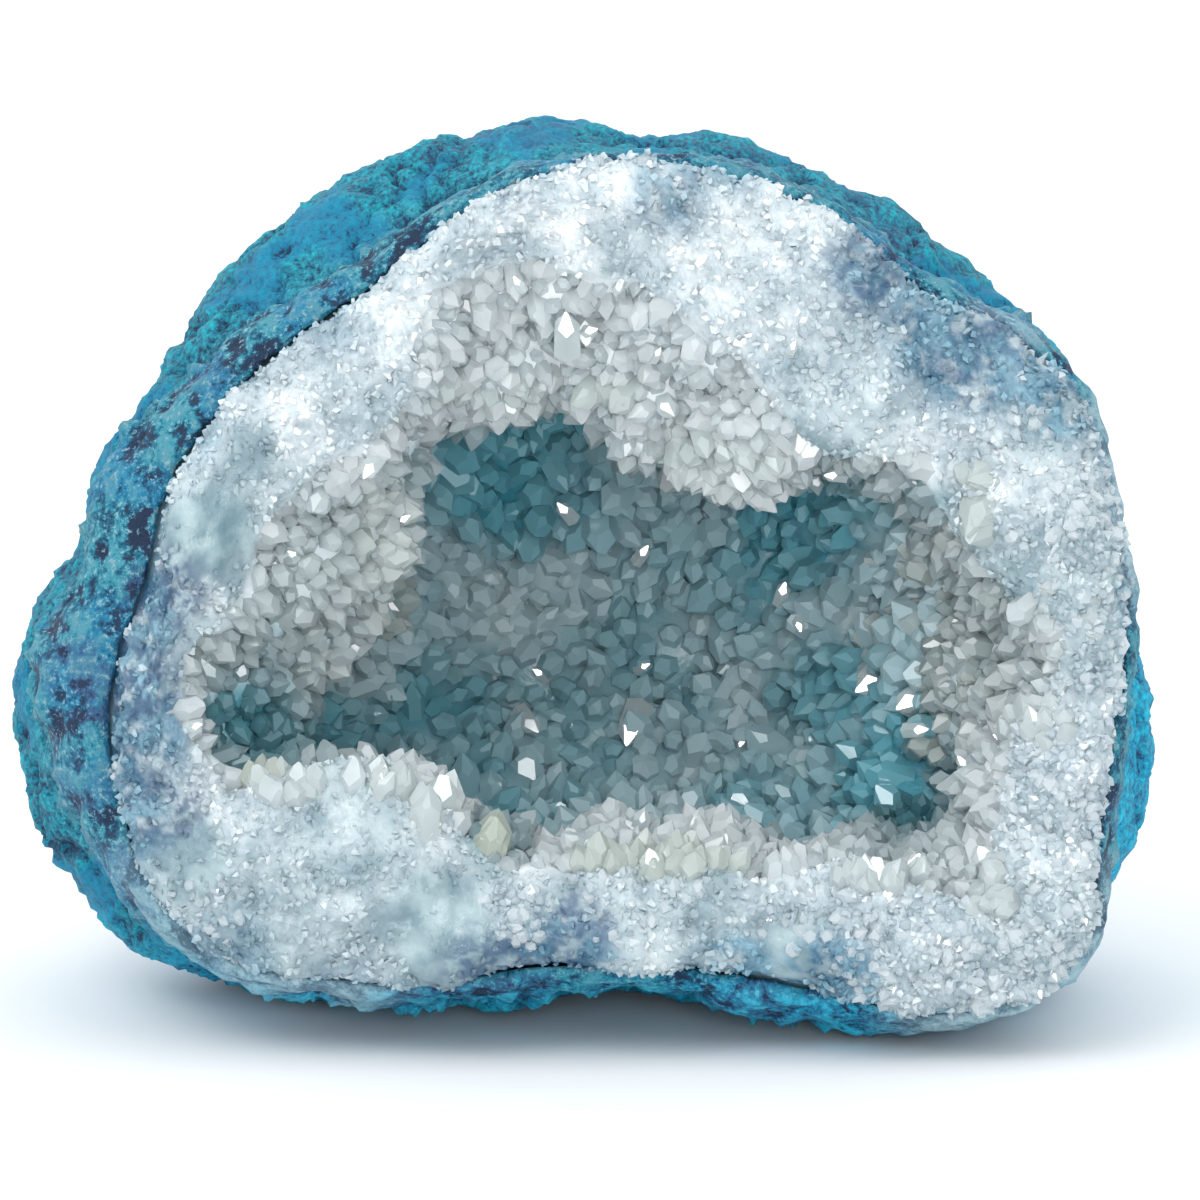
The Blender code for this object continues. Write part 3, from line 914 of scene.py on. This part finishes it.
def joined_tree(pieces):
    """What a line of sight meets first among the pieces."""
    shape = bmesh.new()
    for piece in pieces:
        shape.from_mesh(piece.data)
    tree = BVHTree.FromBMesh(shape)
    shape.free()
    return tree


def plant(shape, kind, width, length, tip, axis, side, tone):
    """Add one crystal to a shape: its tip, the way it points, where its first face looks, and
    how colourless it is."""
    out = (side - axis * side.dot(axis)).normalized()
    turned = Matrix((out, axis.cross(out), axis)).transposed()
    turned = turned @ Matrix.Rotation(math.radians(-30.0), 3, "Z")
    grown_by = turned @ Matrix.Diagonal((width, width, width * length))
    first = len(shape.verts)
    shape.from_mesh(kind.data)
    shape.verts.ensure_lookup_table()
    foot = tip - axis * (TIP_HEIGHT * width * length * MM)
    for vert in shape.verts[first:]:
        vert.co = foot + grown_by @ vert.co
        vert[large_tone] = tone


def image_way(across, up, out):
    """A direction by how it looks from the front: to the right, up, and towards the viewer."""
    return (ACROSS * across + UP_FACE * up - INTO_STONE * out).normalized()


# Groups: middle pixel, half sizes in pixels, how many, widths in mm, which way they point, how
# many mm their tips stand proud, and how colourless they are, 0 for greenish yellow
GROUPS = [
    ((330, 786), (80, 12), 16, (1.8, 2.6), (0.0, 1.0, 0.35), 2.0, 1.0),
    ((440, 806), (18, 14), 4, (2.6, 3.4), (0.2, 1.0, 0.3), 2.6, 1.0),
    ((492, 838), (20, 12), 3, (2.8, 3.4), (0.3, 1.0, 0.2), 2.2, 0.60),
    ((262, 775), (14, 6), 3, (2.2, 2.8), (-0.3, 1.0, 0.1), 1.8, 0.65),
    ((655, 862), (85, 12), 26, (1.8, 2.6), (0.0, 1.0, 0.4), 2.0, 0.80),
    ((878, 876), (50, 12), 16, (1.8, 2.8), (0.0, 1.0, 0.4), 1.9, 1.0),
    ((1035, 722), (34, 22), 12, (1.6, 2.6), (-0.4, 0.9, 0.5), 1.2, 1.0),
    ((968, 508), (22, 34), 6, (3.0, 4.0), (-0.8, -0.4, 0.6), 1.8, 0.92),
    ((705, 470), (85, 26), 30, (1.8, 2.8), (0.0, -1.0, 0.6), 1.2, 0.97),
    ((598, 398), (24, 10), 4, (2.2, 2.8), (-0.7, -0.7, 0.4), 1.4, 0.9),
    ((392, 560), (28, 90), 26, (1.8, 2.8), (0.9, -0.1, 0.5), 1.2, 0.88),
    ((500, 400), (60, 18), 14, (1.6, 2.4), (0.0, -1.0, 0.5), 1.0, 0.97),
    ((930, 640), (80, 130), 30, (1.8, 2.8), (-0.6, 0.1, 0.8), 0.8, 0.88),
    ((990, 890), (26, 30), 8, (1.8, 2.6), (-0.7, 0.3, 0.6), 1.0, 1.0),
    ((1055, 620), (40, 60), 14, (1.4, 2.2), (-0.6, -0.1, 0.7), 0.8, 1.0),
    ((860, 462), (55, 10), 10, (1.4, 2.2), (0.0, -0.8, 0.7), 0.8, 1.0),
]
# Crystals with one face turned so that it throws the lamp back at the viewer: pixel and width
GLINTS = [
    (567, 318, 2.2), (595, 330, 1.1), (515, 278, 0.9), (365, 475, 1.5), (290, 552, 0.9),
    (408, 517, 1.0), (647, 548, 1.2), (785, 585, 1.3), (800, 630, 1.0), (827, 475, 1.1),
    (627, 740, 2.4), (648, 665, 0.9), (535, 730, 1.7), (860, 688, 2.3), (900, 706, 2.0),
    (925, 730, 1.3), (960, 758, 1.1), (995, 735, 0.8), (918, 858, 1.8), (795, 343, 0.8),
    (200, 725, 0.9), (660, 350, 0.8), (560, 505, 1.3), (740, 745, 0.9), (535, 670, 1.0),
]

seen_first = joined_tree([massive_quartz, front_druse, inner_druse])
large_shape = bmesh.new()
large_tone = large_shape.verts.layers.float.new("tone")
noise.seed_set(11)
kinds = list(crystal_kinds.objects)
for middle, half, count, widths, way, proud, tone in GROUPS:
    for number in range(count):
        away = noise.random_unit_vector(size=2) * math.sqrt(noise.random())
        found = seen_first.ray_cast(eye, sight_line(middle[0] + away.x * half[0],
                                                    middle[1] + away.y * half[1]))
        if found[0] is None:
            continue
        fan = 0.7 * image_way(away.x, -away.y, 0.2) + 0.35 * noise.random_unit_vector()
        axis = (image_way(*way) * 1.2 + 0.6 * fan + 0.4 * found[1]).normalized()
        width = widths[0] + (widths[1] - widths[0]) * noise.random()
        plant(large_shape, kinds[number % CRYSTAL_KINDS], width, 0.9 + 0.4 * noise.random(),
              found[0] + axis * proud * MM, axis, noise.random_unit_vector(), tone)
mirror_kind = quartz_point("mirror_kind", MIRROR_FACE_DROP)
for across, down, width in GLINTS:
    sight = sight_line(across, down)
    found = seen_first.ray_cast(eye, sight)
    if found[0] is None:
        continue
    half_way = ((SPARK_PLACE - found[0]).normalized() - sight).normalized()
    sideways = (found[1] - half_way * found[1].dot(half_way) + 0.3 * UP_FACE).normalized()
    axis = half_way * math.sin(CRYSTAL_TIP_SLOPE) + sideways * math.cos(CRYSTAL_TIP_SLOPE)
    tip = found[0] - sight * 0.5 * MM + axis * 0.35 * width * MM
    plant(large_shape, mirror_kind, width, 1.0, tip, axis.normalized(), half_way, 1.0)
bpy.data.objects.remove(mirror_kind)
large_mesh = bpy.data.meshes.new("large_crystals")
large_shape.to_mesh(large_mesh)
large_shape.free()
large_crystals = bpy.data.objects.new("large_crystals", large_mesh)
bpy.context.scene.collection.objects.link(large_crystals)

large_mesh.materials.append(crystal_paints["clear_quartz"])
stands(large_crystals)

for kind in list(crystal_kinds.objects):
    bpy.data.objects.remove(kind, do_unlink=True)
bpy.data.collections.remove(crystal_kinds)
